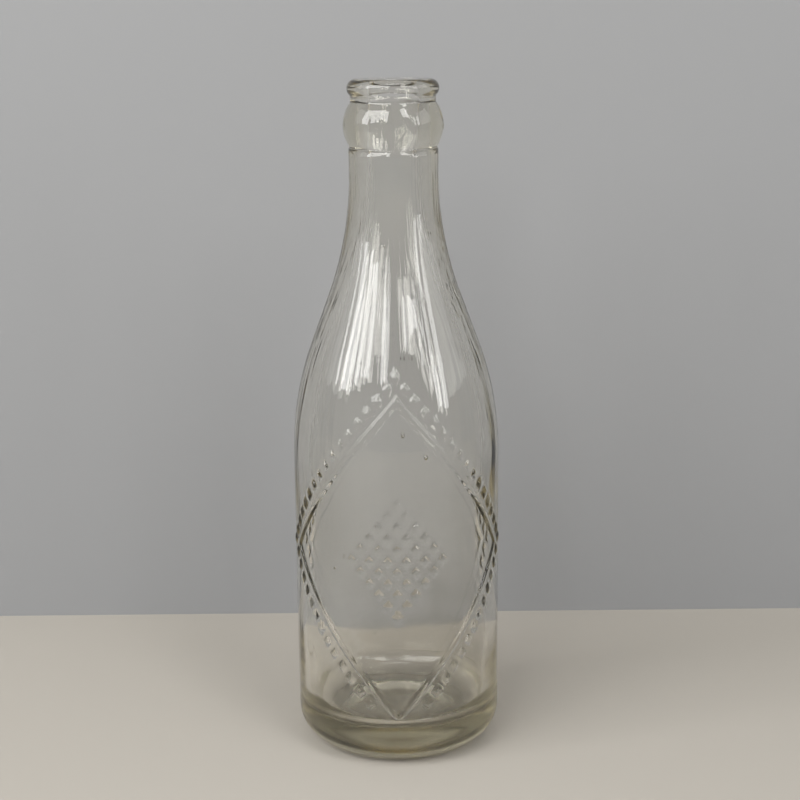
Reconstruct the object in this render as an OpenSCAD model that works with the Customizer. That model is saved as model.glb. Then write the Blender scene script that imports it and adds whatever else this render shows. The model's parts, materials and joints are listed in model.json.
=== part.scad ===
// Crown-top soda bottle of clear glass: a thick cup-shaped base, a straight body that sweeps up into
// a long neck, a tooled crown finish on top of the neck, and moulded relief on the front, which is a
// raised lozenge frame with a row of pips outside it and a panel of pips in its middle.
// Millimetres, +Z up, the front faces -Y, and the origin is on the axis at the resting plane.

/* [Bottle] */
// Overall height, from the resting ring to the top of the lip
bottle_h = 198.2; // [180:0.1:240]
// Outside diameter of the straight body
body_d = 60.8; // [50:0.1:74]
// Height at which the straight body starts to sweep inwards
body_h = 88.8; // [72:0.1:108]
// How much steeper the flank leans than its chord: 1 is a plain cone, 2 is all arc
sweep_form = 1.69; // [1.3:0.01:1.85]
// Thickness of the body wall
wall_t = 4; // [2.5:0.1:5.5]

/* [Base] */
// Height of the mould joint between the base cup and the body
seam_z = 15.6; // [13:0.1:19]
// How far the base cup stands proud of the body at the mould joint
seam_step = 0.15; // [0:0.05:0.4]
// Outside radius of the heel
heel_r = 10; // [7:0.1:12]
// Width of the flat ring that the bottle rests on
rest_w = 2.6; // [1.5:0.1:4]
// Depth of the push-up under the base
push_up = 2.4; // [1:0.1:4]
// Height of the inside floor above the resting plane
floor_z = 10; // [7:0.1:12]
// Radius of the corner between the inside floor and the wall
corner_r = 7.6; // [5:0.1:12]
// Rise of the inside floor towards its middle
floor_rise = 1.2; // [0.5:0.1:3]

/* [Neck] */
// Outside diameter of the straight neck below the finish
neck_d = 25.9; // [23:0.1:31]
// Length of the straight neck below the finish
neck_straight = 8.2; // [5:0.1:16]
// Diameter of the bore through the neck and mouth
bore_d = 14.4; // [12:0.1:17]
// How far the sweep inside starts below the one outside, and ends above it
bore_lead = 2; // [1:0.1:4]

/* [Crown finish] */
// Height of the finish, from the top of the neck to the top of the lip
finish_h = 19.6; // [18:0.1:23]
// Outside diameter of the lip that a crown cap grips
lip_d = 26.6; // [25:0.1:28]
// Radius of the rounded edge of the lip
lip_edge_r = 2.6; // [2:0.1:3]
// Height of the lip, from the groove to the top
lip_h = 5.3; // [5:0.1:6.5]
// Diameter of the groove under the lip
groove_d = 24.6; // [23.5:0.1:25]
// Outside diameter of the reinforcing ring
ring_d = 29.1; // [28:0.1:31]
// Depth of the middle of the reinforcing ring below the top of the lip
ring_drop = 13; // [12:0.1:14]
// Radius of the curved side of the reinforcing ring
ring_side_r = 10.6; // [9.5:0.1:13]
// Diameter of the narrow band where the finish sits on the neck
band_d = 25.4; // [24:0.1:25.8]
// Height of that band
band_h = 1; // [0.5:0.1:1.5]
// Radius of the rounded inner edge of the mouth
mouth_edge_r = 1.2; // [0.6:0.1:1.6]

/* [Relief] */
// Height of the lozenge frame, corner to corner
frame_h = 93.4; // [60:0.1:98]
// Angle round the body from the front to a side corner of the lozenge
frame_angle = 70; // [45:1:75]
// How far the middle of each side of the lozenge bows outwards
frame_bow = 1.3; // [0:0.1:2.5]
// Gap between the lowest corner of the frame and the mould joint
frame_foot = 0.2; // [0.1:0.1:3]
// Width of the frame's ridge at the wall
ridge_w = 1.7; // [1.2:0.1:2.4]
// Width of the frame's ridge at its crest
crest_w = 0.7; // [0.4:0.1:1]
// How far the relief stands out from the wall
relief_h = 0.5; // [0.3:0.05:1]
// Clear distance between the frame and the row of pips outside it
row_gap = 1.6; // [1:0.1:3]
// Length of a pip's side where it meets the wall
pip_side = 3; // [2:0.1:3.6]
// Length of a pip's side at its crest
pip_crest = 1.2; // [0.6:0.1:1.8]
// Distance from one pip to the next
pip_pitch = 4.3; // [3.8:0.1:6]
// Pips along each side of the panel in the middle
panel_count = 6; // [3:1:8]

/* [Hidden] */
$fn = 96;

body_r = body_d / 2;
neck_r = neck_d / 2;
bore_r = bore_d / 2;
lip_r = lip_d / 2;
cavity_r = body_r - wall_t;
cup_r = body_r + seam_step;
ledge_z = bottle_h - finish_h;           // top of the neck, where the finish sits
neck_z = ledge_z - neck_straight;        // where the sweep ends and the straight neck starts
rest_r = cup_r - heel_r;                 // outer edge of the resting ring
push_r = rest_r - rest_w;                // edge of the push-up
past = 1;                                // how far a cut runs past the face that it opens

// Sweep between two radii: two equal arcs joined by the straight flank that touches both.
function flank_angle(dr, dz) = sweep_form * atan(dr / dz);
function sweep_radius(dr, dz) =
    let (a = flank_angle(dr, dz)) (dz / 2 * tan(a) - dr / 2) / (1 / cos(a) - 1);

// Radius of the outside wall at height z, from the body up to the neck.
sweep_r = sweep_radius(body_r - neck_r, neck_z - body_h);
sweep_a = flank_angle(body_r - neck_r, neck_z - body_h);
arc_h = sweep_r * sin(sweep_a);
function wall_r(z) =
    z <= body_h ? body_r :
    z <= body_h + arc_h ? body_r - sweep_r + sqrt(pow(sweep_r, 2) - pow(z - body_h, 2)) :
    z <= neck_z - arc_h ? body_r - sweep_r * (1 - cos(sweep_a)) - (z - body_h - arc_h) * tan(sweep_a) :
    z <= neck_z ? neck_r + sweep_r - sqrt(pow(sweep_r, 2) - pow(neck_z - z, 2)) :
    neck_r;

// Filled half-section of a sweep, from the axis out to the curve.
module sweep_section(r_low, z_low, r_high, z_high) {
    dr = r_low - r_high;
    dz = z_high - z_low;
    a = flank_angle(dr, dz);
    r = sweep_radius(dr, dz);
    side = r * (1 - cos(a));
    rise = r * sin(a);
    difference() {
        union() {
            polygon([[0, z_low], [r_low, z_low], [r_low - side, z_low + rise],
                     [r_high + side, z_high - rise], [r_high, z_high], [0, z_high]]);
            intersection() {
                translate([r_low - r, z_low]) circle(r, $fn = 720);
                translate([r_low - side - 1, z_low]) square([side + 1, rise]);
            }
        }
        intersection() {
            translate([r_high + r, z_high]) circle(r, $fn = 720);
            translate([r_high, z_high - rise]) square([side + 1, rise]);
        }
    }
}

// Half-section of the hollow inside, from the floor to past the mouth.
module cavity_section() {
    sweep_low = body_h - bore_lead;
    sweep_high = neck_z + bore_lead;
    dome_r = (pow(cavity_r - corner_r, 2) + pow(floor_rise, 2)) / (2 * floor_rise);
    difference() {
        union() {
            translate([0, floor_z]) square([cavity_r - corner_r, corner_r]);
            translate([0, floor_z + corner_r]) square([cavity_r, sweep_low - floor_z - corner_r]);
            intersection() {
                translate([cavity_r - corner_r, floor_z + corner_r]) circle(corner_r);
                translate([cavity_r - corner_r, floor_z]) square(corner_r);
            }
            sweep_section(cavity_r, sweep_low, bore_r, sweep_high);
            translate([0, sweep_high]) square([bore_r, bottle_h + past - sweep_high]);
        }
        intersection() {
            translate([0, floor_z + floor_rise - dome_r]) circle(dome_r, $fn = 360);
            translate([0, floor_z]) square([cavity_r - corner_r, floor_rise + past]);
        }
    }
}

// Base: rounded heel, resting ring, push-up underneath and the domed floor of the hollow above.
module base_cup() {
    push_up_r = (pow(push_r, 2) + pow(push_up, 2)) / (2 * push_up);
    color([0.72, 0.74, 0.62, 0.6])
    rotate_extrude()
    difference() {
        union() {
            square([rest_r, seam_z]);
            translate([0, heel_r]) square([cup_r, seam_z - heel_r]);
            intersection() {
                translate([rest_r, heel_r]) circle(heel_r);
                translate([rest_r, 0]) square(heel_r);
            }
        }
        intersection() {
            translate([0, push_up - push_up_r]) circle(push_up_r, $fn = 360);
            square([push_r, push_up + past]);
        }
        cavity_section();
    }
}

// Outside half-section of body, shoulder and neck, from a given foot to the top of the neck.
module body_section(foot = seam_z) {
    translate([0, foot]) square([body_r, body_h - foot]);
    sweep_section(body_r, body_h, neck_r, neck_z);
    translate([0, neck_z]) square([neck_r, neck_straight]);
}

// Straight body, shoulder and long neck, hollow, open at both ends.
module body() {
    color([0.86, 0.88, 0.82, 0.45])
    rotate_extrude()
    difference() {
        body_section();
        cavity_section();
    }
}

// Tooled crown finish: narrow band on the neck, reinforcing ring, groove and rounded lip.
module crown_finish() {
    ring_z = bottle_h - ring_drop;
    lip_z = bottle_h - lip_edge_r;
    groove_z = bottle_h - lip_h;
    groove_r = groove_d / 2;
    lip_foot = lip_edge_r * cos(45);
    color([0.84, 0.87, 0.80, 0.5])
    rotate_extrude()
    difference() {
        union() {
            translate([0, ledge_z]) square([band_d / 2, finish_h / 2]);
            translate([0, ring_z]) square([groove_r, bottle_h - lip_edge_r - ring_z]);
            intersection() {
                translate([ring_d / 2 - ring_side_r, ring_z]) circle(ring_side_r, $fn = 360);
                translate([0, ledge_z + band_h]) square([ring_d, groove_z - ledge_z - band_h]);
            }
            polygon([[0, groove_z], [groove_r, groove_z],
                     [lip_r - lip_edge_r + lip_foot, lip_z - lip_foot], [lip_r - lip_edge_r, lip_z],
                     [lip_r - lip_edge_r, bottle_h], [0, bottle_h]]);
            translate([lip_r - lip_edge_r, lip_z]) circle(lip_edge_r);
        }
        cavity_section();
        difference() {
            translate([0, bottle_h - mouth_edge_r]) square([bore_r + mouth_edge_r, mouth_edge_r + past]);
            translate([bore_r + mouth_edge_r, bottle_h - mouth_edge_r]) circle(mouth_edge_r);
        }
    }
}

// Point on the wall: distance round from the front along the body, height, and lift off the wall.
function on_wall(x, z, lift) =
    let (a = x / body_r * 180 / PI, r = wall_r(z) + lift) [r * sin(a), -r * cos(a), z];

// The relief is drawn flat on a slanted grid and wrapped round the wall. p and q count along the
// grid's two directions from the middle of the frame, and the frame is where either reaches 1.
frame_half_w = body_r * frame_angle * PI / 180;
frame_side = norm([frame_half_w, frame_h / 2]);
along_unit = frame_side / 2;                                // length of one count along a grid line
across_unit = frame_half_w * frame_h / 2 / frame_side;      // distance between lines one count apart
ridge_tip = ridge_w / 2 * frame_side / frame_half_w;        // how far a mitred corner reaches out
frame_z = seam_z + frame_foot + ridge_tip + frame_h / 2;
function grid_z(p, q) = frame_z + (p - q) * frame_h / 4;
function on_grid(p, q, lift, bow) =
    let (out = bow * (p * max(0, 1 - q * q) + q * max(0, 1 - p * p)))
    on_wall((p + q) * frame_half_w / 2 + out, grid_z(p, q), lift);

// p along a closed square path as u runs from 0 to 4; q is the same, one step behind.
function path(u) = let (w = u - 4 * floor(u / 4)) max(-1, min(1, 2 - 2 * abs(w - 1.5)));

// The relief starts this far below the wall, and what lies in the wall is then cut away.
sink = 0.25;

// Body as one solid without its hollow, which the relief is cut to.
module wall_solid() {
    rotate_extrude($fn = 360) body_section(foot = 0);
}

// Raised lozenge: a ridge of four sides that wraps round the body and up the shoulder.
module lozenge_frame() {
    steps = 18;                                             // sections along one side
    foot_w = crest_w + (ridge_w - crest_w) * (relief_h + sink) / relief_h;
    section = [[-foot_w / 2, -sink], [-crest_w / 2, relief_h], [crest_w / 2, relief_h], [foot_w / 2, -sink]];
    count = 4 * steps;
    ridge = [for (i = [0:count - 1]) for (s = section)
        let (extent = 1 + s[0] / across_unit, u = i / steps)
        on_grid(extent * path(u), extent * path(u - 1), s[1], frame_bow)];
    faces = [for (i = [0:count - 1]) for (k = [0:3])
        let (j = (i + 1) % count, n = (k + 1) % 4, side = [4 * i + k, 4 * i + n, 4 * j + n, 4 * j + k])
        for (half = [[0, 1, 2], [0, 2, 3]]) [for (c = half) side[c]]];
    color([0.92, 0.93, 0.88])
    difference() {
        polyhedron(ridge, faces, convexity = 8);
        wall_solid();
    }
}

// One raised pip: a small blunt pyramid on a lozenge of the grid.
module pip(p, q, bow = 0) {
    foot_side = pip_crest + (pip_side - pip_crest) * (relief_h + sink) / relief_h;
    corners = [[-1, -1], [1, -1], [1, 1], [-1, 1]];
    points = [for (level = [[foot_side, -sink], [pip_crest, relief_h]]) for (c = corners)
        let (half = level[0] / along_unit / 2) on_grid(p + c[0] * half, q + c[1] * half, level[1], bow)];
    faces = [[0, 1, 2, 3], [7, 6, 5, 4], [1, 0, 4, 5], [2, 1, 5, 6], [3, 2, 6, 7], [0, 3, 7, 4]];
    polyhedron(points, faces);
}

// Row of pips that follows the frame outside it, as far down as the mould joint.
module pip_row() {
    extent = 1 + (ridge_w / 2 + row_gap) / across_unit + pip_side / along_unit / 2;
    per_side = round(2 * extent * along_unit / pip_pitch);
    lowest = seam_z + frame_foot + pip_side * frame_h / 4 / along_unit;
    color([0.92, 0.93, 0.88])
    difference() {
        for (i = [0:4 * per_side - 1]) {
            p = extent * path(i / per_side);
            q = extent * path(i / per_side - 1);
            if (grid_z(p, q) > lowest) pip(p, q, frame_bow);
        }
        wall_solid();
    }
}

// Panel of pips in the middle of the frame, a smaller lozenge of the same grid.
module pip_panel() {
    step = pip_pitch / along_unit;
    middle = (panel_count - 1) / 2;
    color([0.92, 0.93, 0.88])
    difference() {
        for (i = [0:panel_count - 1]) for (k = [0:panel_count - 1]) pip((i - middle) * step, (k - middle) * step);
        wall_solid();
    }
}

base_cup();
body();
crown_finish();
lozenge_frame();
pip_row();
pip_panel();
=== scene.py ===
# %% [markdown]
# # A crown-top soda bottle of clear glass
#
# The bottle was blown in a mould, so its outside is the mould's inside: a thick base cup, a straight
# body that sweeps up into a long neck, and raised ornament on the front. The finish, which is the
# ring and lip that a crown cap grips, was shaped by a tool afterwards. The hollow inside was made by
# air alone, so nothing there is quite even.
#
# Glass shows every fault of its mesh, because light goes in through one surface and out through
# another. So the whole bottle is one closed skin with no inner walls, and every round shape in it is
# an arc and not a row of guesses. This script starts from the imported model, which fixes every size.

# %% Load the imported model
import json
import math

import bpy
import numpy as np
from mathutils import Matrix, Vector, noise


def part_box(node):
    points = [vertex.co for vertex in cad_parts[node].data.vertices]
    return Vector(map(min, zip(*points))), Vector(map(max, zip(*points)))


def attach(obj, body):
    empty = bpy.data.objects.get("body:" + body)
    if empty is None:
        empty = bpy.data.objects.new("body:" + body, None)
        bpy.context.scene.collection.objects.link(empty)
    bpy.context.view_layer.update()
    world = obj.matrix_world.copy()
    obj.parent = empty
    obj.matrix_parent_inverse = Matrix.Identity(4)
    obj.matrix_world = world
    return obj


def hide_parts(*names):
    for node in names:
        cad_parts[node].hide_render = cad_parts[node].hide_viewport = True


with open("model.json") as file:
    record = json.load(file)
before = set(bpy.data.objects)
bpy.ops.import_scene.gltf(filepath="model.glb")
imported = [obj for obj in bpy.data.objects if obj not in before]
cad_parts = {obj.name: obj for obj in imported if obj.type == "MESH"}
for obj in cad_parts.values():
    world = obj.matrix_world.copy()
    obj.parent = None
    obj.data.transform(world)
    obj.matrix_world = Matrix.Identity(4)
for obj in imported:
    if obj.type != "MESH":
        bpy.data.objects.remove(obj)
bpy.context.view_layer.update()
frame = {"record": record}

# %% [markdown]
# ## Sizes
#
# All lengths are in metres. What the model can tell is read from it: the height of the mould joint,
# the radius of body, neck and mouth, and where the finish starts. The rest are the few driving sizes
# that a box can't show, such as the radius of the heel or how the shoulder bends.

# %% Sizes from the model
mm = 0.001
base_high, body_high, finish_high = [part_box(name)[1] for name in ("base_cup", "body", "crown_finish")]
mounts = {mount["name"]: mount for mount in frame["record"]["mounts"]}

cup_r = base_high.x
seam_z = base_high.z
body_r = body_high.x
ledge_z = body_high.z
mouth_z = finish_high.z
ring_r = finish_high.x
bore_r = mounts["mouth_bore"]["dims"]["r_mm"] * mm
print("body", body_r, "cup", cup_r, "joint", seam_z, "ledge", ledge_z, "mouth", mouth_z, "bore", bore_r)

# %% Sizes that a box can't show
body_h = 88.8 * mm  # where the straight body starts to sweep in
sweep_form = 1.69  # how much steeper the flank leans than its chord
wall_t = 4 * mm
neck_r = 12.95 * mm
neck_straight = 8.2 * mm
bore_lead = 2 * mm  # how far the sweep inside starts below the one outside
heel_r = 10 * mm
rest_w = 2.6 * mm
push_up = 2.4 * mm
floor_z = 10 * mm
corner_r = 7.6 * mm
floor_rise = 1.2 * mm

cavity_r = body_r - wall_t
neck_z = ledge_z - neck_straight
rest_r = cup_r - heel_r
push_r = rest_r - rest_w

# %% [markdown]
# ## The line of the shoulder
#
# From the body to the neck the wall follows two equal arcs that bend opposite ways, joined by the
# straight flank that touches both. With the two radii, the two heights and the lean of the flank
# given, the radius of the arcs follows. The wall's radius at any height is then a formula, which
# later wraps the flat front round the bottle.


# %% The sweep
class Sweep:
    """Two equal arcs and the flank between them, from one radius and height to another."""

    def __init__(self, r_low, z_low, r_high, z_high):
        self.r_low, self.z_low, self.r_high, self.z_high = r_low, z_low, r_high, z_high
        run, rise = r_low - r_high, z_high - z_low
        self.lean = sweep_form * math.atan(run / rise)
        self.arc_r = (rise / 2 * math.tan(self.lean) - run / 2) / (1 / math.cos(self.lean) - 1)
        self.side = self.arc_r * (1 - math.cos(self.lean))
        self.arc_h = self.arc_r * math.sin(self.lean)

    def radius(self, z):
        """Radius at height z, for an array of heights."""
        above_low = np.clip(z - self.z_low, 0, self.arc_h)
        below_high = np.clip(self.z_high - z, 0, self.arc_h)
        low_arc = self.r_low - self.arc_r + np.sqrt(self.arc_r**2 - above_low**2)
        high_arc = self.r_high + self.arc_r - np.sqrt(self.arc_r**2 - below_high**2)
        flank = self.r_low - self.side - (z - self.z_low - self.arc_h) * math.tan(self.lean)
        upper = np.where(z > self.z_high - self.arc_h, high_arc, flank)
        return np.where(z < self.z_low + self.arc_h, low_arc, upper)


# %% The outside and the inside of the wall
outside = Sweep(body_r, body_h, neck_r, neck_z)
inside = Sweep(cavity_r, body_h - bore_lead, bore_r, neck_z + bore_lead)
print("flank leans", round(math.degrees(outside.lean), 1), "degrees")

# %% [markdown]
# The base cup of the mould was a little wider than the body and sat a little off the middle. So the
# wall steps out to it over a fraction of a millimetre, under a fine crease. The step belongs to the
# same formula, which keeps it smooth.

# %% The wall's radius at any height
joint_w = 0.2 * mm  # height over which the wall steps out to the base cup
cup_off = 0.1 * mm  # how far the base cup sat off the middle
joint_groove = 0.06 * mm  # depth of the crease that the joint left above the step


def joint_step(z):
    """1 below the round joint, 0 above it."""
    t = np.clip((seam_z + joint_w / 2 - z) / joint_w, 0, 1)
    return t * t * (3 - 2 * t)


def wall_radius(z):
    """Radius of the outside wall, from the top of the heel to the foot of the finish."""
    body = np.where(z < outside.z_low, body_r, np.where(z > outside.z_high, neck_r, outside.radius(z)))
    crease = joint_groove * np.exp(-(((z - seam_z - joint_w) / (0.7 * joint_w)) ** 2))
    return body + (cup_r - body_r) * joint_step(z) - crease


# %% [markdown]
# ## Camera
#
# The camera stands about half a metre in front, a little above the mouth, and looks down. It is made
# first, because everything after it is judged through it.

# %% Camera
camera_place = Vector((0, -480 * mm, 214.6 * mm))
camera_pitch = 12.93  # degrees below the horizon
camera_turn = -0.15  # degrees round the vertical, a little to the right
camera_roll = -0.51  # degrees, the right side a little down
lens = 74.6  # millimetres, on a sensor 36 mm wide

bpy.ops.object.camera_add(location=camera_place)
camera = bpy.context.object
camera.name = "front_camera"
camera.data.lens = lens
camera.data.clip_start = 0.01
turn = Matrix.Rotation(math.radians(camera_turn), 4, "Z")
tilt = Matrix.Rotation(math.radians(90 - camera_pitch), 4, "X")
roll = Matrix.Rotation(math.radians(camera_roll), 4, "Z")
camera.rotation_euler = (turn @ tilt @ roll).to_euler()
bpy.context.scene.camera = camera
print("camera", round(camera_place.length, 3), "m from the foot of the bottle")

# %% [markdown]
# ## The outside as a flat sheet
#
# The ornament on the front runs in slanted straight lines, but on the round wall those lines are
# curves. So the outside is made flat first, as a tailor cuts cloth: a grid as wide as the body's
# girth, with a column every two degrees. Straight cuts are then made where edges are wanted. Height
# off the sheet and the wrap round the bottle come last.

# %% Ornament sizes, measured flat
columns = 180
rows = 84
frame_angle = math.radians(70)
frame_h = 93.4 * mm
frame_foot = 0.2 * mm
frame_bow = 1.3 * mm
ridge_w = 1.7 * mm
relief_h = 0.5 * mm
row_gap = 1.6 * mm
pip_side = 3 * mm
pip_pitch = 4.3 * mm
panel_count = 6

half_w = body_r * frame_angle
side_length = math.hypot(half_w, frame_h / 2)
along_unit = side_length / 2
across_unit = half_w * frame_h / 2 / side_length
frame_z = seam_z + frame_foot + ridge_w / 2 * side_length / half_w + frame_h / 2
print("frame middle at", round(frame_z / mm, 2), "mm")


def grid_counts(x, z):
    """How far along the two slanted directions a point of the flat sheet lies. The frame is at 1."""
    across, up = x / half_w, 2 * (z - frame_z) / frame_h
    return across + up, across - up


# %% [markdown]
# ## Cutting the sheet
#
# Each region that gets cuts is marked with a material slot of its own. New faces inherit the slot,
# so the region can be selected again after every cut. A cut is the bisect tool with a plane that
# stands on the sheet. The knife and the loop cut would do the same by hand, but they need a window.


# %% Marking faces
def faces_of(mesh):
    """Middles of all faces."""
    middles = np.empty(len(mesh.polygons) * 3)
    mesh.polygons.foreach_get("center", middles)
    return middles.reshape(-1, 3)


def mark(obj, slot, chosen):
    """Gives the chosen faces a slot number."""
    slots = np.empty(len(obj.data.polygons), dtype=np.int32)
    obj.data.polygons.foreach_get("material_index", slots)
    slots[chosen] = slot
    obj.data.polygons.foreach_set("material_index", slots)


# %% Cutting marked faces
def cut(obj, slot, line_point, line_normal):
    """Cuts the faces of one slot along a line of the sheet, in edit mode."""
    bpy.ops.mesh.select_all(action="DESELECT")
    obj.active_material_index = slot
    bpy.ops.object.material_slot_select()
    co = (line_point[0], 0, line_point[1])
    no = Vector((line_normal[0], 0, line_normal[1])).normalized()
    bpy.ops.mesh.bisect(plane_co=co, plane_no=no, threshold=1e-7)


def cut_across(obj, slot, p=None, q=None):
    """Cuts along one slanted line, where p or q has the given value."""
    value, way = (p, 1) if q is None else (q, -1)
    cut(obj, slot, (value * half_w, frame_z), (1 / half_w, way * 2 / frame_h))


# %% The flat sheet
bpy.ops.object.select_all(action="DESELECT")
girth = 2 * math.pi * body_r
sheet_h = ledge_z - heel_r
bpy.ops.mesh.primitive_grid_add(
    x_subdivisions=columns,
    y_subdivisions=rows,
    size=1,
    location=(0, 0, heel_r + sheet_h / 2),
    rotation=(math.pi / 2, 0, 0),
)
bottle = bpy.context.object
bottle.name = "bottle_glass"
bottle.scale = (girth, sheet_h, 1)
bpy.ops.object.transform_apply(location=True, rotation=True, scale=True)
print("sheet", [round(d / mm, 1) for d in bottle.dimensions], "mm,", len(bottle.data.polygons), "faces")

# %% [markdown]
# ## The frame's four sides
#
# Each side of the frame is a ridge with a rounded top. Ten parallel cuts give it its cross-section.
# The sheet is first cut along the two centre lines of the lozenge, so that the sides meet there in a
# clean mitre, and every quarter is cut by itself.

# %% Mark the frame
ridge_half = 0.7 * ridge_w  # the ridge fades into the wall a little past its own width
ridge_lines = [-1, -0.82, -0.6, -0.4, -0.2, 0.2, 0.4, 0.6, 0.82, 1]
ridge_margin, pip_margin = 1.8 * mm, 1.9 * mm  # about one face of the sheet, so that none is missed
for slot in range(8):
    bottle.data.materials.append(None)
RIDGE, ROW, PANEL, SEAM = 1, 5, 6, 7  # the ridge has a slot for each of its four sides

bpy.ops.object.mode_set(mode="EDIT")
cut(bottle, 0, (0, frame_z), (0, 1))
cut(bottle, 0, (0, frame_z), (1, 0))
bpy.ops.object.mode_set(mode="OBJECT")

middles = faces_of(bottle.data)
p, q = grid_counts(middles[:, 0], middles[:, 2])
off_line = (np.maximum(abs(p), abs(q)) - 1) * across_unit
near = abs(off_line) < ridge_half + ridge_margin
quarters = [(1, 1), (1, -1), (-1, -1), (-1, 1)]
for n, (side, up) in enumerate(quarters):
    mark(bottle, RIDGE + n, near & (middles[:, 0] * side > 0) & ((middles[:, 2] - frame_z) * up > 0))

# %% Cut the frame
bpy.ops.object.mode_set(mode="EDIT")
for n, (side, up) in enumerate(quarters):
    for line in ridge_lines:
        value = side * (1 + line * ridge_half / across_unit)
        if side == up:
            cut_across(bottle, RIDGE + n, p=value)
        else:
            cut_across(bottle, RIDGE + n, q=value)
bpy.ops.object.mode_set(mode="OBJECT")
print("faces after the frame", len(bottle.data.polygons))

# %% [markdown]
# ## The pips
#
# A row of small blunt pyramids follows the frame outside it, and a panel of them fills its middle.
# They are cut from the sheet in the same way, a whole line of pips at a time: all pips with the same
# p share their cuts, and so do all with the same q.

# %% Places of the pips
row_extent = 1 + (ridge_w / 2 + row_gap) / across_unit + pip_side / along_unit / 2
row_count = round(2 * row_extent * along_unit / pip_pitch)
pip_half = pip_side / along_unit / 2
lowest_pip = seam_z + frame_foot + pip_side * frame_h / 4 / along_unit
pip_lines = [-1, -0.72, -0.4, 0.4, 0.72, 1]


def path(u):
    """p along the closed square path of the row as u runs from 0 to 4. q is the same, one step behind."""
    u = u % 4
    return max(-1, min(1, 2 - 2 * abs(u - 1.5)))


row_steps = [n / row_count for n in range(4 * row_count)]
row_pips = [(row_extent * path(u), row_extent * path(u - 1)) for u in row_steps]
row_pips = [(p, q) for p, q in row_pips if frame_z + (p - q) * frame_h / 4 > lowest_pip]
panel_steps = [(n - (panel_count - 1) / 2) * pip_pitch / along_unit for n in range(panel_count)]
panel_pips = [(p, q) for p in panel_steps for q in panel_steps]
print(len(row_pips), "pips in the row,", len(panel_pips), "in the panel")


# %% Cut the pips
def mark_pips(obj, slot, pips):
    """Marks the faces round a group of pips."""
    middles = faces_of(obj.data)
    p, q = grid_counts(middles[:, 0], middles[:, 2])
    reach = pip_half + pip_margin / along_unit
    for pip_p, pip_q in pips:
        mark(obj, slot, np.maximum(abs(p - pip_p), abs(q - pip_q)) < reach)


for slot, pips in ((ROW, row_pips), (PANEL, panel_pips)):
    mark_pips(bottle, slot, pips)
    bpy.ops.object.mode_set(mode="EDIT")
    for value in sorted({round(p, 6) for p, q in pips}):
        for line in pip_lines:
            cut_across(bottle, slot, p=value + line * pip_half)
    for value in sorted({round(q, 6) for p, q in pips}):
        for line in pip_lines:
            cut_across(bottle, slot, q=value + line * pip_half)
    bpy.ops.object.mode_set(mode="OBJECT")
print("faces after the pips", len(bottle.data.polygons))

# %% [markdown]
# ## Marks of the mould
#
# The base cup and the two halves of the body met at joints, and glass crept a little into each. The
# round joint is a small step, where the cup stands proud, with a fine crease above it. The upright
# joints are fine raised lines down both sides, which fade out under the finish, because the tool
# wiped them away there.

# %% Cut the mould joints
upright_half = 0.45 * mm
upright_x = girth / 4
upright_reach = 1.1 * mm  # a little over one face of the sheet
rim_margin = 3 * mm  # the rims stay uncut, so that they match the pieces they meet
middles = faces_of(bottle.data)
off_rims = (middles[:, 2] > heel_r + rim_margin) & (middles[:, 2] < ledge_z - rim_margin)
mark(bottle, SEAM, off_rims & (abs(abs(middles[:, 0]) - upright_x) < upright_reach))

upright_lines = (-1, -0.5, 0.5, 1)
joint_lines = (-2, -1, -0.5, 0, 0.5, 1, 1.5, 2, 2.5, 3, 4, 5)  # close together at the step and crease

bpy.ops.object.mode_set(mode="EDIT")
for side in (-1, 1):
    for line in upright_lines:
        cut(bottle, SEAM, (side * upright_x + line * upright_half, frame_z), (1, 0))
for line in joint_lines:
    bpy.ops.mesh.select_all(action="SELECT")
    bpy.ops.mesh.bisect(plane_co=(0, 0, seam_z + line * joint_w / 2), plane_no=(0, 0, 1), threshold=1e-7)
bpy.ops.object.mode_set(mode="OBJECT")
print("faces after the joints", len(bottle.data.polygons))

# %% [markdown]
# ## Raising the relief and wrapping the sheet
#
# Every vertex of the sheet now gets its height from its distance to the nearest ornament, on a curve
# that is level at the foot and on top, so that light slides over it as over pressed glass. Then the
# sheet is rolled up: the way along it becomes an angle, and the wall's radius at that height, plus
# the height of the relief, becomes the distance from the axis.


# %% Curves of the relief, and moving points
def rounded(t):
    """1 at t = 0 and 0 from t = 1 on, level at both ends."""
    return 0.5 + 0.5 * np.cos(math.pi * np.clip(t, 0, 1))


def plateau(t, crest):
    """1 up to the edge of the crest, 0 past the foot."""
    return rounded((t - crest) / (1 - crest))


def points_of(mesh):
    """Places of all vertices."""
    points = np.empty(len(mesh.vertices) * 3)
    mesh.vertices.foreach_get("co", points)
    return points.reshape(-1, 3)


def move_points(mesh, points):
    """Puts all vertices at new places."""
    mesh.vertices.foreach_set("co", points.ravel())
    mesh.update()


# %% Height of the relief
ridge_crest, pip_crest = 0.2, 0.35  # share of the half width that is flat on top
upright_h = 0.12 * mm
verts = points_of(bottle.data)
x, z = verts[:, 0].copy(), verts[:, 2].copy()
p, q = grid_counts(x, z)
reach = np.maximum(abs(p), abs(q))

lift = relief_h * plateau(abs(reach - 1) * across_unit / ridge_half, ridge_crest)
for pip_p, pip_q in row_pips + panel_pips:
    off_pip = np.maximum(abs(p - pip_p), abs(q - pip_q)) / pip_half
    lift = np.maximum(lift, relief_h * plateau(off_pip, pip_crest))
fade = np.clip((z - seam_z) / (2 * mm), 0, 1) * np.clip((neck_z - z) / (20 * mm), 0, 1)
lift = np.maximum(lift, upright_h * fade * rounded(abs(abs(x) - upright_x) / upright_half))
print("relief up to", round(float(lift.max()) / mm, 2), "mm")

# %% [markdown]
# On the real mould the sides of the lozenge bow out a little, and its lowest corner hangs down to
# the round joint. Bowing the sheet after the cuts keeps every cut straight and every edge clean, so
# the vertices are shifted here, just before the sheet is rolled.

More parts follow.
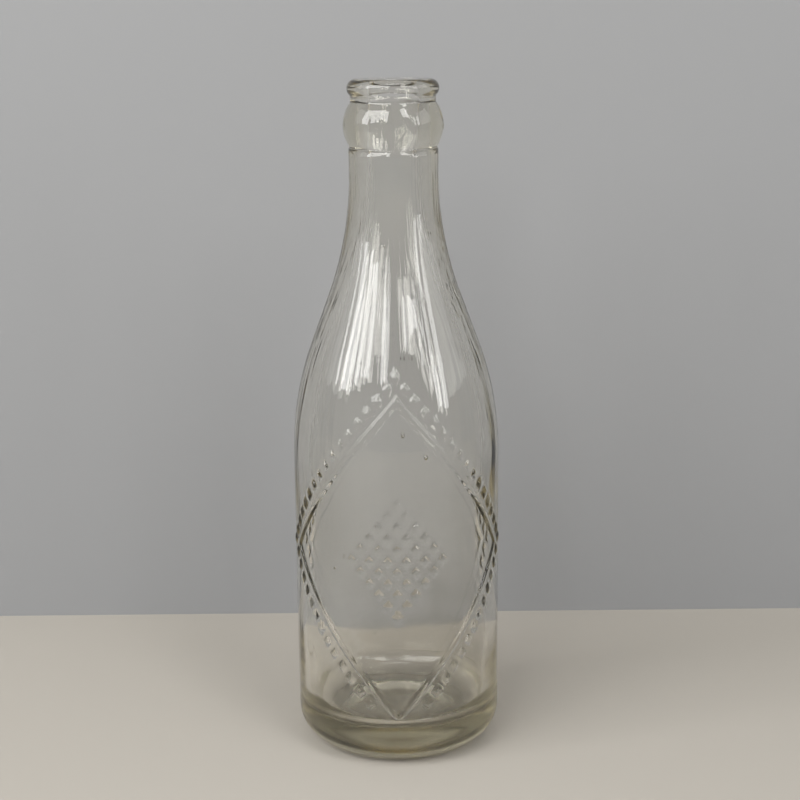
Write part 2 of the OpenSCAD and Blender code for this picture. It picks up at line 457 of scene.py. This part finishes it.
# %% Bow the sides and wrap
frame_low_z = frame_z - frame_h / 2
corner_hang, corner_h, corner_w = 1 * mm, 25 * mm, 14 * mm  # how far, and over what height and width
in_p, in_q = np.clip(p, -1.2, 1.2), np.clip(q, -1.2, 1.2)
bend = in_p * np.clip(1 - q * q, 0, 1) + in_q * np.clip(1 - p * p, 0, 1)
corner_drop = corner_hang * rounded((frame_low_z - z) / (frame_low_z - seam_z - joint_w / 2))
z -= corner_drop * rounded((z - frame_low_z) / corner_h) * rounded(x / corner_w) * rounded(-x / corner_w)
above_heel = np.clip((z - heel_r) / (seam_z - heel_r), 0, 1)
near_frame = rounded((0.75 - reach) / 0.3) * rounded((reach - 1.2) / 0.4)  # fades inside and outside
x += frame_bow * bend * near_frame * above_heel
angle = x / body_r
radius = wall_radius(z) + lift
cup_share = joint_step(z)
radius -= cup_off * cup_share
verts = np.column_stack([radius * np.sin(angle) + cup_off * cup_share, -radius * np.cos(angle), z])
move_points(bottle.data, verts)
print("outside from", np.round(verts.min(axis=0) / mm, 2), "to", np.round(verts.max(axis=0) / mm, 2))

# %% [markdown]
# ## A profile drawn with a pen
#
# The rest is round: heel and push-up below, finish and mouth above, and the hollow inside. A lathe
# makes it, in Blender the spin tool. Its profile is drawn as by hand, from a single vertex that is
# extruded along straight lines and spun round the centres of arcs. Neighbouring arcs touch smoothly,
# so each next centre follows from the last.


# %% The pen
class Pen:
    """Draws a profile in the XZ plane with one vertex as its tip."""

    def __init__(self, x, z):
        bpy.ops.object.select_all(action="DESELECT")
        bpy.ops.mesh.primitive_plane_add(size=1 * mm, location=(0, 0, 0))
        self.obj = bpy.context.object
        bpy.ops.object.mode_set(mode="EDIT")
        bpy.ops.mesh.merge(type="CENTER")
        bpy.ops.transform.translate(value=(x, 0, z))
        self.x, self.z = x, z

    def line(self, x, z, steps=1):
        """A straight line to a point."""
        step = ((x - self.x) / steps, 0, (z - self.z) / steps)
        for _ in range(steps):
            bpy.ops.mesh.extrude_region_move(TRANSFORM_OT_translate={"value": step})
        self.x, self.z = x, z

    def arc(self, x, z, degrees, steps):
        """An arc round a centre, anticlockwise for a positive angle."""
        bpy.ops.mesh.spin(steps=steps, angle=math.radians(degrees), center=(x, 0, z), axis=(0, 1, 0))
        a = math.radians(degrees)
        run, rise = self.x - x, self.z - z
        self.x = x + run * math.cos(a) - rise * math.sin(a)
        self.z = z + run * math.sin(a) + rise * math.cos(a)

    def turn_round(self):
        """Spins the whole profile once round the axis and returns the round piece."""
        bpy.ops.mesh.select_all(action="SELECT")
        bpy.ops.mesh.spin(steps=columns, angle=2 * math.pi, center=(0, 0, 0), axis=(0, 0, 1))
        bpy.ops.object.mode_set(mode="OBJECT")
        return self.obj


# %% [markdown]
# ## Heel and push-up
#
# The bottle stands on a narrow ring, and the glass inside the ring is pushed up a little, so that it
# stands firm on an uneven table. The push-up is a shallow dome. Its radius is the one that makes it
# touch the rounded edge of the ring without a corner. The floor of the hollow is such a dome as well.


# %% A dome that touches a rounded edge
def dome(x, z, edge_r, top_z):
    """Radius and angle of a dome on the axis that touches a rounded edge and rises to top_z."""
    drop = (x**2 + z**2 - (edge_r + top_z) ** 2) / (2 * (edge_r + top_z - z))
    return top_z + drop, math.degrees(math.atan(x / (z + drop)))


# %% Heel, resting ring and push-up
heel_x = rest_r - cup_off
edge_x, edge_r = push_r - cup_off, 3 * mm
dome_r, dome_angle = dome(edge_x, edge_r, edge_r, push_up)

pen = Pen(heel_x + heel_r, heel_r)
pen.arc(heel_x, heel_r, -90, 20)
pen.line(edge_x, 0, 2)
pen.arc(edge_x, edge_r, -dome_angle, 4)
pen.arc(0, push_up - dome_r, dome_angle, 10)
print("underside ends at", round(pen.x / mm, 4), round(pen.z / mm, 4))
under = pen.turn_round()
under.name = "underside"
bpy.ops.transform.translate(value=(cup_off, 0, 0))
bpy.ops.object.transform_apply(location=True)

# %% [markdown]
# ## Finish and hollow
#
# The finish is a band, a ring, a groove for the cap's edge and a rounded lip. Two circles that touch
# have the point where they touch on the line between their centres. So the arcs need no list of
# angles: each angle follows from where the next centre lies. The profile then turns over the lip and
# runs down inside, as one line, to the middle of the floor.

# %% Sizes of the finish
band_r, band_h = 12.7 * mm, 1 * mm
ring_side_r = 10.6 * mm
ring_z = mouth_z - 13 * mm
ring_x = ring_r - ring_side_r
groove_r, groove_fillet = 12.3 * mm, 1.2 * mm
lip_r, lip_edge_r = 13.3 * mm, 2.6 * mm
lip_x, lip_z = lip_r - lip_edge_r, mouth_z - lip_edge_r
mouth_edge_r = 1.2 * mm


def degrees_between(x, z):
    """Angle of a direction above the horizontal."""
    return math.degrees(math.atan2(z, x))


# %% Where the arcs touch
fillet_x = groove_r + groove_fillet
foot_rise = ledge_z + band_h - ring_z
ring_foot = degrees_between(math.sqrt(ring_side_r**2 - foot_rise**2), foot_rise)
ring_rise = math.sqrt((ring_side_r + groove_fillet) ** 2 - (fillet_x - ring_x) ** 2)
ring_head = degrees_between(fillet_x - ring_x, ring_rise)
lip_drop = math.sqrt((lip_edge_r + groove_fillet) ** 2 - (fillet_x - lip_x) ** 2)
lip_foot = degrees_between(fillet_x - lip_x, lip_drop)

# %% Draw the finish
pen = Pen(neck_r, ledge_z)
neck_fold = neck_r - band_r
pen.line(band_r + 0.3 * neck_fold, ledge_z + 0.3 * neck_fold)
pen.line(band_r, ledge_z + neck_fold)
pen.line(band_r, ledge_z + band_h - neck_fold)
pen.line(ring_x + ring_side_r * math.cos(math.radians(ring_foot)), ledge_z + band_h)
pen.arc(ring_x, ring_z, ring_head - ring_foot, 26)
pen.arc(fillet_x, ring_z + ring_rise, -ring_head, 6)
pen.line(groove_r, lip_z - lip_drop)
pen.arc(fillet_x, lip_z - lip_drop, -lip_foot, 6)
pen.arc(lip_x, lip_z, lip_foot + 90, 26)
pen.line(bore_r + mouth_edge_r, mouth_z, 2)
pen.arc(bore_r + mouth_edge_r, mouth_z - mouth_edge_r, 90, 10)
print("mouth reached at", round(pen.x / mm, 4), round(pen.z / mm, 4))

# %% Draw the hollow, and turn the profile round
pen.line(bore_r, inside.z_high, 24)
lean = math.degrees(inside.lean)
pen.arc(bore_r + inside.arc_r, inside.z_high, lean, 20)
pen.line(cavity_r - inside.side, inside.z_low + inside.arc_h, 8)
pen.arc(cavity_r - inside.arc_r, inside.z_low, -lean, 20)
pen.line(cavity_r, floor_z + corner_r, 34)
corner_x = cavity_r - corner_r
floor_r, floor_angle = dome(corner_x, floor_z + corner_r, corner_r, floor_z + floor_rise)
pen.arc(corner_x, floor_z + corner_r, -90 - floor_angle, 22)
pen.arc(0, floor_z + floor_rise - floor_r, floor_angle, 10)
print("floor reached at", round(pen.x / mm, 4), round(pen.z / mm, 4))
upper = pen.turn_round()
upper.name = "finish_and_hollow"

# %% [markdown]
# ## One closed skin
#
# The three pieces share their rims, so joining them and merging the double vertices closes the skin.
# Where the spin came round to its start there is a seam to merge as well. The two poles are closed in
# the same step, and the normals are then made to point out of the glass.

# %% Join and close
bpy.ops.object.select_all(action="DESELECT")
for piece in (bottle, under, upper):
    piece.select_set(True)
bpy.context.view_layer.objects.active = bottle
bpy.ops.object.join()
bpy.ops.object.mode_set(mode="EDIT")
bpy.ops.mesh.select_all(action="SELECT")
bpy.ops.mesh.remove_doubles(threshold=0.002 * mm)
bpy.ops.mesh.normals_make_consistent(inside=False)
bpy.ops.mesh.select_all(action="DESELECT")
bpy.ops.mesh.select_non_manifold()
bpy.ops.object.mode_set(mode="OBJECT")
open_edges = sum(edge.select for edge in bottle.data.edges)
corners = sum(len(face.vertices) - 2 for face in bottle.data.polygons)
print("one skin of", corners, "triangles,", open_edges, "open edges")

# %% [markdown]
# ## What air and tools leave behind
#
# Inside the mould there was only air, so the wall is thicker in some places than in others: in long
# waves round the body, in upright streaks where the neck was drawn, and in a swell where the glass
# settled low down. The finish was pressed to shape by a hand tool, which left shallow dimples. This
# is what makes the light in a bottle dance, so it is real shape here, moved vertex by vertex with
# smooth noise.


# %% Smooth noise, swells and ramps
def waves(points, size, tall, seed):
    """Smooth noise of about -1 to 1 at each point, stretched upwards."""
    place = points / np.array([size, size, size * tall]) + seed
    return np.array([noise.noise(Vector(co)) for co in place])


def swell(z, middle, half):
    """A smooth bulge of height 1 round one height of the bottle."""
    return np.exp(-(((z - middle) / half) ** 2))


def ramp(start, length):
    """Rises from 0 to 1 over a length past the start."""
    return np.clip(start / length, 0, 1)


# %% Which vertices are in the hollow
verts = points_of(bottle.data)
z = verts[:, 2]
reach = np.hypot(verts[:, 0], verts[:, 1])
inner_wall = np.where(z > inside.z_high, bore_r, inside.radius(z))
inner_wall = np.where(z < inside.z_low, cavity_r, inner_wall)
below_lip = mouth_z - 4 * mm - z
in_hollow = (reach < inner_wall + 0.4 * mm) & (z > floor_z - 0.1 * mm) & (below_lip > 0)
out_dir = verts / np.maximum(reach, 1e-6)[:, None]
out_dir[:, 2] = 0
round_place = out_dir * 10 * mm  # the same all the way up, so noise on it runs in upright lines

# %% The hollow
settle_wave = 0.7 * mm * swell(z, 34 * mm, 14 * mm) - 0.8 * mm * swell(z, 64 * mm, 16 * mm)
settle_wave *= 1 + 0.5 * waves(round_place, size=14 * mm, tall=1, seed=2.4)
slow = waves(verts, size=16 * mm, tall=3, seed=3.1) + 0.5 * waves(verts, size=7 * mm, tall=4, seed=8.7)
slow *= 0.32 * mm * np.clip(inner_wall / cavity_r, 0.35, 1)
draw = waves(round_place + verts * [0, 0, 1], size=3 * mm, tall=16, seed=5.3)
draw *= 0.05 * mm * ramp(z - 80 * mm, 40 * mm)
fingered = ramp(z - ledge_z + 8 * mm, 6 * mm) * ramp(below_lip, 3 * mm)
push = (slow + draw) * ramp(below_lip, 12 * mm) * ramp(reach, 8 * mm)
push += 0.3 * mm * fingered * waves(verts, size=5 * mm, tall=1.6, seed=4.4)
push += settle_wave * ramp(reach - 22 * mm, 3 * mm)
verts += out_dir * np.where(in_hollow, push, 0)[:, None]
floor_part = in_hollow & (z < floor_z + 2.2 * mm)
floor_wave = 0.25 * mm * waves(verts, size=12 * mm, tall=1, seed=1.9)
verts[:, 2] += np.where(floor_part, floor_wave, 0)
print("hollow pushed by up to", round(float(abs(push[in_hollow]).max()) / mm, 2), "mm")

# %% The finish
tooled = ~in_hollow & (z > ledge_z + band_h) & (reach > bore_r + 0.5 * mm)
dimples = waves(verts, size=6 * mm, tall=0.6, seed=6.6)
dimples += 0.5 * waves(verts, size=2.6 * mm, tall=0.8, seed=9.2) - 0.6  # 0.6 keeps them under the surface
tool_marks = 0.10 * mm * dimples * ramp(mouth_z - 1 * mm - z, 2 * mm)
verts += out_dir * np.where(tooled, tool_marks, 0)[:, None]
move_points(bottle.data, verts)
print("finish dimpled by up to", round(float(abs(tool_marks[tooled]).max()) / mm, 2), "mm")

# %% [markdown]
# ## Seeds
#
# Glass makers call the small bubbles in old glass seeds. Each one is a tiny closed shell whose faces
# point inwards, because there the way out of the glass leads into the bubble.

# %% Places of the seeds
seeds = [
    (3.8, 100.6, 0.5, 1.6),
    (16.7, 94.0, 0.55, 1.3),
    (-24, 120, 0.3, 1.5),
    (31, 131, 0.25, 2.0),
    (-12, 152, 0.22, 2.2),
    (22, 163, 0.2, 2.4),
    (-38, 60, 0.35, 1.1),
    (44, 38, 0.3, 1.0),
    (8, 12.0, 0.35, 1.0),
    (-33, 11.4, 0.4, 1.0),
    (120, 76, 0.4, 1.4),
    (170, 112, 0.35, 1.8),
    (-140, 50, 0.45, 1.1),
    (-165, 24, 0.35, 1.0),
]  # angle from the front, height in mm, radius in mm, how far drawn out upwards

# %% One small shell for each
seed_pieces = []
for angle, height, size, drawn_out in seeds:
    height *= mm
    skin = wall_radius(np.array([height]))[0]
    place = skin - 0.45 * wall_t
    bpy.ops.object.select_all(action="DESELECT")
    bpy.ops.mesh.primitive_uv_sphere_add(
        segments=16,
        ring_count=10,
        radius=size * mm,
        location=(place * math.sin(math.radians(angle)), -place * math.cos(math.radians(angle)), height),
    )
    seed = bpy.context.object
    seed.scale.z = drawn_out
    bpy.ops.object.transform_apply(location=True, rotation=True, scale=True)
    bpy.ops.object.mode_set(mode="EDIT")
    bpy.ops.mesh.select_all(action="SELECT")
    bpy.ops.mesh.flip_normals()
    bpy.ops.object.mode_set(mode="OBJECT")
    seed_pieces.append(seed)

# %% Join the seeds to the skin
bpy.ops.object.select_all(action="DESELECT")
for piece in [bottle] + seed_pieces:
    piece.select_set(True)
bpy.context.view_layer.objects.active = bottle
bpy.ops.object.join()
bpy.ops.object.shade_smooth()
bottle.data.materials.clear()
print(len(seeds), "seeds,", len(bottle.data.polygons), "faces in all")

# %% [markdown]
# ## Helpers for materials
#
# By hand, a material is a chain of nodes drawn with the mouse. In code the same few nodes come back
# again and again: a sum, a range, a cloud of noise. Each helper below adds one of them, joins it to
# what it is given, and returns its output, so that a chain reads from top to bottom.


# %% Joining nodes, and sums
def feed(tree, socket, value):
    """Joins an output to a socket, or sets the socket to a number, a vector or a colour."""
    if isinstance(value, bpy.types.NodeSocket):
        tree.links.new(value, socket)
    else:
        socket.default_value = value


def combined(tree, operation, *terms):
    """A Math node."""
    node = tree.nodes.new("ShaderNodeMath")
    node.operation = operation
    for socket, term in zip(node.inputs, terms):
        feed(tree, socket, term)
    return node.outputs["Value"]


def vector_combined(tree, operation, *terms):
    """A Vector Math node."""
    node = tree.nodes.new("ShaderNodeVectorMath")
    node.operation = operation
    for socket, term in zip(node.inputs, terms):
        feed(tree, socket, term)
    return node.outputs["Value" if operation in ("LENGTH", "DOT_PRODUCT") else "Vector"]


# %% Ranges and mixes
def mapped(tree, value, start, end, at_start=0.0, at_end=1.0, smooth=False):
    """A Map Range node: at_start where the value is start, at_end where it is end."""
    node = tree.nodes.new("ShaderNodeMapRange")
    node.interpolation_type = "SMOOTHSTEP" if smooth else "LINEAR"
    names = ("Value", "From Min", "From Max", "To Min", "To Max")
    for name, term in zip(names, (value, start, end, at_start, at_end)):
        feed(tree, node.inputs[name], term)
    return node.outputs["Result"]


def mixed(tree, kind, share, a, b):
    """A Mix node, of numbers (FLOAT) or colours (RGBA)."""
    node = tree.nodes.new("ShaderNodeMix")
    node.data_type = kind
    for name, term in (("Factor", share), ("A", a), ("B", b)):
        feed(tree, node.inputs[name], term)
    return node.outputs["Result"]


# %% Noise and bump
def cloud(tree, where, scale, detail, roughness=0.5):
    """A Noise Texture node."""
    node = tree.nodes.new("ShaderNodeTexNoise")
    names = ("Vector", "Scale", "Detail", "Roughness")
    for name, term in zip(names, (where, scale, detail, roughness)):
        feed(tree, node.inputs[name], term)
    return node.outputs["Fac"]


def bumped(tree, height, distance, strength, on_top_of=None):
    """A Bump node, over another one if there is one."""
    node = tree.nodes.new("ShaderNodeBump")
    for name, term in (("Height", height), ("Distance", distance), ("Strength", strength)):
        feed(tree, node.inputs[name], term)
    if on_top_of is not None:
        feed(tree, node.inputs["Normal"], on_top_of)
    return node.outputs["Normal"]


# %% One shader or another, and the height of a place
def either(tree, share, first, second):
    """A Mix Shader node."""
    node = tree.nodes.new("ShaderNodeMixShader")
    for socket, term in zip(node.inputs, (share, first, second)):
        feed(tree, socket, term)
    return node.outputs["Shader"]


def height_of(tree, where):
    """The Z of a place."""
    node = tree.nodes.new("ShaderNodeSeparateXYZ")
    feed(tree, node.inputs["Vector"], where)
    return node.outputs["Z"]


# %% [markdown]
# ## Clear glass
#
# Soda glass from sand with a trace of iron is nearly colourless in a thin wall and olive where it is
# thick, as at the heel. So the colour isn't painted on: on every millimetre of the light's way
# through it the glass takes away some of the blue, and a little of the green and red.

# %% The glass
glass = bpy.data.materials.new("soda_glass")
glass.use_nodes = True
tree = glass.node_tree
tree.nodes.clear()
surface = tree.nodes.new("ShaderNodeBsdfPrincipled")
surface.inputs["IOR"].default_value = 1.52
surface.inputs["Transmission Weight"].default_value = 1
tint, density = (0.6, 0.53, 0.25), 22
depth = tree.nodes.new("ShaderNodeVolumeAbsorption")
depth.inputs["Color"].default_value = (*tint, 1)
depth.inputs["Density"].default_value = density
output = tree.nodes.new("ShaderNodeOutputMaterial")
tree.links.new(surface.outputs["BSDF"], output.inputs["Surface"])
tree.links.new(depth.outputs["Volume"], output.inputs["Volume"])
for way in (2 * wall_t, 2 * cup_r):
    kept = [round(math.exp(-density * (1 - share) * way), 2) for share in tint]
    print("red, green and blue kept over", round(way / mm), "mm of glass:", kept)

# %% Places on the bottle
place = tree.nodes.new("ShaderNodeTexCoord").outputs["Object"]
height = height_of(tree, place)
flat_place = vector_combined(tree, "MULTIPLY", place, (1, 1, 0))
from_axis = vector_combined(tree, "LENGTH", flat_place)
outer_side = mapped(tree, from_axis, 26.8 * mm, 27.2 * mm)  # 1 outside, 0 in the hollow

# %% [markdown]
# ## Wear and film
#
# A bottle that went back and forth to be filled again isn't equally shiny all over. Its resting ring
# is scuffed from standing, the underside is satin, and where bottles knock together on the line
# there are fine worn spots. The lower hollow has a thin film that rinsing left. All of this is
# roughness, which rises and falls with height and with noise.

# %% Roughness
near_floor = mapped(tree, height, 3.2 * mm, 1.5 * mm, at_end=0.25)
on_ring = mapped(tree, height, 0.5 * mm, 0.1 * mm, at_end=0.7)
scuffed = combined(tree, "MULTIPLY", on_ring, cloud(tree, place, 900, 3))
under_side = combined(tree, "ADD", scuffed, near_floor)

worn = mapped(tree, cloud(tree, place, 140, 6, 0.7), 0.62, 0.8, at_end=0.08)
hazy = mapped(tree, height, 110 * mm, 40 * mm, at_end=0.10, smooth=True)
film = mixed(tree, "FLOAT", outer_side, hazy, 0)
low_side = mapped(tree, height, seam_z, seam_z - 3 * mm, at_end=0.16)
satin = combined(tree, "MULTIPLY_ADD", outer_side, low_side, film)
handled = combined(tree, "ADD", satin, worn)
feed(tree, surface.inputs["Roughness"], combined(tree, "MAXIMUM", under_side, handled))

# %% [markdown]
# ## Painted shade inside
#
# Low down inside and toward the back, the hollow is painted grey. This is painted shade, standing in for
# the bottle's shadow on the floor behind it, which is seen through the glass. It dims what is seen
# through it, so it goes on Base Color, and only on the hollow.

# %% Painted shade in the lower hollow
ragged_height = combined(tree, "MULTIPLY_ADD", cloud(tree, place, 70, 3), 16 * mm, height)
low_down = mapped(tree, ragged_height, 66 * mm, 34 * mm, smooth=True)
toward_back = vector_combined(tree, "DOT_PRODUCT", place, (0.45, 0.89, 0))
back_share = mapped(tree, toward_back, 4 * mm, 20 * mm, smooth=True)
above_floor = mapped(tree, height, 11 * mm, 18 * mm, smooth=True)
painted_shade_amount = combined(tree, "SUBTRACT", 1, outer_side)
for share in (low_down, back_share, above_floor):
    painted_shade_amount = combined(tree, "MULTIPLY", painted_shade_amount, share)
# The grey is painted shade: it darkens the floor seen through the lower hollow, as the bottle's shadow
# would.
clean, painted_shade_grey = (1, 1, 1, 1), (0.54, 0.525, 0.49, 1)
feed(tree, surface.inputs["Base Color"], mixed(tree, "RGBA", painted_shade_amount, clean, painted_shade_grey))

# %% [markdown]
# ## Ripple and draw lines
#
# Bump adds what is too fine for the mesh: a soft ripple all over, and thin upright draw lines in the
# neck and shoulder. The lines are noise on the direction from the axis, which is the same all the
# way up, so they follow the sweep of the shoulder.

# %% Ripple and draw lines as bump
line_spread = (13, 13, 13)  # how closely the draw lines stand
line_change = 9  # how fast they change on their way up
upright = tree.nodes.new("ShaderNodeCombineXYZ")
feed(tree, upright.inputs["Z"], combined(tree, "MULTIPLY", height, line_change))
direction = vector_combined(tree, "NORMALIZE", flat_place)
around = vector_combined(tree, "MULTIPLY_ADD", direction, line_spread, upright.outputs["Vector"])
drawn_part = mapped(tree, height, 80 * mm, 115 * mm, at_start=0.1)
under_finish = mapped(tree, height, ledge_z, ledge_z - 8 * mm)
on_neck = combined(tree, "MULTIPLY", drawn_part, under_finish)
here_and_there = mapped(tree, cloud(tree, around, 0.28, 1), 0.35, 0.65, at_start=0.15)
how_drawn = combined(tree, "MULTIPLY", on_neck, here_and_there)
draw_lines = bumped(tree, cloud(tree, around, 1, 1.2), 0.2 * mm, how_drawn)

drawn_up = vector_combined(tree, "MULTIPLY", place, (1, 1, 0.3))
ripple = bumped(tree, cloud(tree, drawn_up, 150, 1), 0.14 * mm, 0.5, on_top_of=draw_lines)
feed(tree, surface.inputs["Normal"], ripple)
bottle.data.materials.append(glass)
print("glass material of", len(tree.nodes), "nodes")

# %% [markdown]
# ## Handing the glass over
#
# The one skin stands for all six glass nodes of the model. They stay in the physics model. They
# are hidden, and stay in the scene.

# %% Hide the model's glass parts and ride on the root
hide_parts("base_cup", "body", "crown_finish", "lozenge_frame", "pip_row", "pip_panel")
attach(bottle, "root")

# %% [markdown]
# ## Floor, wall and light
#
# Glass shows nothing but what stands round it, so floor and wall matter here as much as the glass.
# The floor is pale and warm, the wall behind it a cooler grey. The wall can be seen from the front
# only. From behind it isn't there, so it never stands between a camera and the bottle.


# %% A matt paint
def plain(name, color):
    """A matt material with a faint unevenness in its colour."""
    material = bpy.data.materials.new(name)
    material.use_nodes = True
    tree = material.node_tree
    surface = tree.nodes["Principled BSDF"]
    surface.inputs["Roughness"].default_value = 0.8
    surface.inputs["Specular IOR Level"].default_value = 0.2
    place = tree.nodes.new("ShaderNodeTexCoord").outputs["Object"]
    darker, lighter = ([c * share for c in color] + [1] for share in (0.97, 1.03))
    paint = mixed(tree, "RGBA", cloud(tree, place, 3, 2), darker, lighter)
    feed(tree, surface.inputs["Base Color"], paint)
    return material


# %% The floor
floor_z_low = -0.1 * mm  # a hair under the bottle, so that the two faces don't flicker
bpy.ops.object.select_all(action="DESELECT")
floor_place = (0, 0, floor_z_low)
bpy.ops.mesh.primitive_circle_add(vertices=128, radius=0.95, fill_type="NGON", location=floor_place)
floor = bpy.context.object
floor.name = "floor"
floor.data.materials.append(plain("floor_card", (0.415, 0.387, 0.343)))

# %% The wall behind
wall_y = 103 * mm
wall_w, wall_h = 1.6, 0.9
bpy.ops.object.select_all(action="DESELECT")
wall_place = (0, wall_y, wall_h / 2 + floor_z_low)
bpy.ops.mesh.primitive_plane_add(size=1, location=wall_place, rotation=(math.pi / 2, 0, 0))
wall = bpy.context.object
wall.name = "wall"
wall.scale = (wall_w, wall_h, 1)
bpy.ops.object.transform_apply(location=True, rotation=True, scale=True)
wall_paint = plain("wall_card", (0.292, 0.294, 0.297))
tree = wall_paint.node_tree
from_behind = tree.nodes.new("ShaderNodeNewGeometry").outputs["Backfacing"]
painted = tree.nodes["Principled BSDF"].outputs["BSDF"]
nothing = tree.nodes.new("ShaderNodeBsdfTransparent").outputs["BSDF"]
seen_wall = either(tree, from_behind, painted, nothing)
feed(tree, tree.nodes["Material Output"].inputs["Surface"], seen_wall)
wall.data.materials.append(wall_paint)
print("wall faces", [round(c, 2) for c in wall.data.polygons[0].normal])

# %% [markdown]
# ## Windows
#
# On glass a lamp is seen as itself, as a bright shape on the shoulder. A real window isn't one even
# patch: bars and curtains split it, so its reflection is a bundle of streaks. Here two tall windows
# stand at the front left and the front right, each of a few panes with gaps between them, and two
# skylights above. A dim glow from either side shows the edges of the relief.


# %% One pane
def window(name, azimuth, elevation, width, height, distance, radiance):
    """An area lamp that faces the bottle. Azimuth is from the front, to the right."""
    a, e = math.radians(azimuth), math.radians(elevation)
    way = Vector((math.sin(a) * math.cos(e), -math.cos(a) * math.cos(e), math.sin(e)))
    target = Vector((0, 0, 110 * mm))  # a little above the bottle's middle
    bpy.ops.object.light_add(type="AREA", location=target + way * distance)
    lamp = bpy.context.object
    lamp.name = name
    lamp.data.shape = "RECTANGLE"
    lamp.data.size = width
    lamp.data.size_y = height
    lamp.data.energy = radiance * math.pi * width * height
    lamp.rotation_euler = way.to_track_quat("Z", "Y").to_euler()
    lamp.visible_camera = False
    return lamp


# %% All panes
lamp_distance = 1.1
pane_radiance, glow_radiance = 6.7, 1.2
panes = [
    ("left_pane_1", -15, 34, 0.17, 0.60),
    ("left_pane_2", -22.5, 42, 0.05, 0.50),
    ("left_pane_3", -29, 43, 0.13, 0.46),
    ("left_pane_4", -39, 36, 0.17, 0.66),
    ("left_pane_5", -51, 32, 0.20, 0.66),
    ("left_pane_6", -66, 28, 0.24, 0.64),
    ("right_pane_1", 28, 42, 0.24, 0.50),
    ("right_pane_2", 38, 38, 0.08, 0.56),
    ("right_pane_3", 45, 26, 0.05, 0.40),
    ("right_pane_4", 53, 19, 0.08, 0.46),
    ("right_pane_5", 61, 16, 0.08, 0.40),
    ("skylight", -3, 72, 0.40, 0.20),
    ("right_skylight", 44, 64, 0.16, 0.18),
]  # name, azimuth and elevation in degrees, width and height in metres
for name, azimuth, elevation, width, height in panes:
    window(name, azimuth, elevation, width, height, lamp_distance, pane_radiance)
for name, azimuth in (("left_wall_glow", -85), ("right_wall_glow", 85)):
    window(name, azimuth, 24, 0.8, 0.6, lamp_distance, glow_radiance)
print(len(panes), "panes of window")

# %% [markdown]
# ## The room
#
# The rest of the room is only a soft grey light, brighter near the floor than above, as it is where
# light comes back from a floor and low walls. With a sharp change from one to the other, the glass
# would show it as a line, so the change is smooth. The camera sees a plain grey in its place.

# %% World
world = bpy.data.worlds.new("room")
bpy.context.scene.world = world
world.use_nodes = True
tree = world.node_tree
room = tree.nodes["Background"]
room.inputs["Color"].default_value = (1, 1, 1, 1)
upwards = height_of(tree, tree.nodes.new("ShaderNodeTexCoord").outputs["Generated"])
feed(tree, room.inputs["Strength"], mapped(tree, upwards, 0, 0.5, 0.33, 0.08, smooth=True))
seen = tree.nodes.new("ShaderNodeBackground")
seen.inputs["Color"].default_value = (0.40, 0.40, 0.40, 1)
from_camera = tree.nodes.new("ShaderNodeLightPath").outputs["Is Camera Ray"]
shown = either(tree, from_camera, room.outputs["Background"], seen.outputs["Background"])
feed(tree, tree.nodes["World Output"].inputs["Surface"], shown)

# %% [markdown]
# ## View
#
# Light that enters the glass may be turned back many times before it leaves, so more bounces are
# allowed than usual. With too few, the heel and the relief go black.

# %% View and bounces
scene = bpy.context.scene
scene.view_settings.view_transform = "Standard"
scene.cycles.max_bounces = 32
scene.cycles.transmission_bounces = 32
scene.cycles.glossy_bounces = 16
scene.cycles.transparent_max_bounces = 16
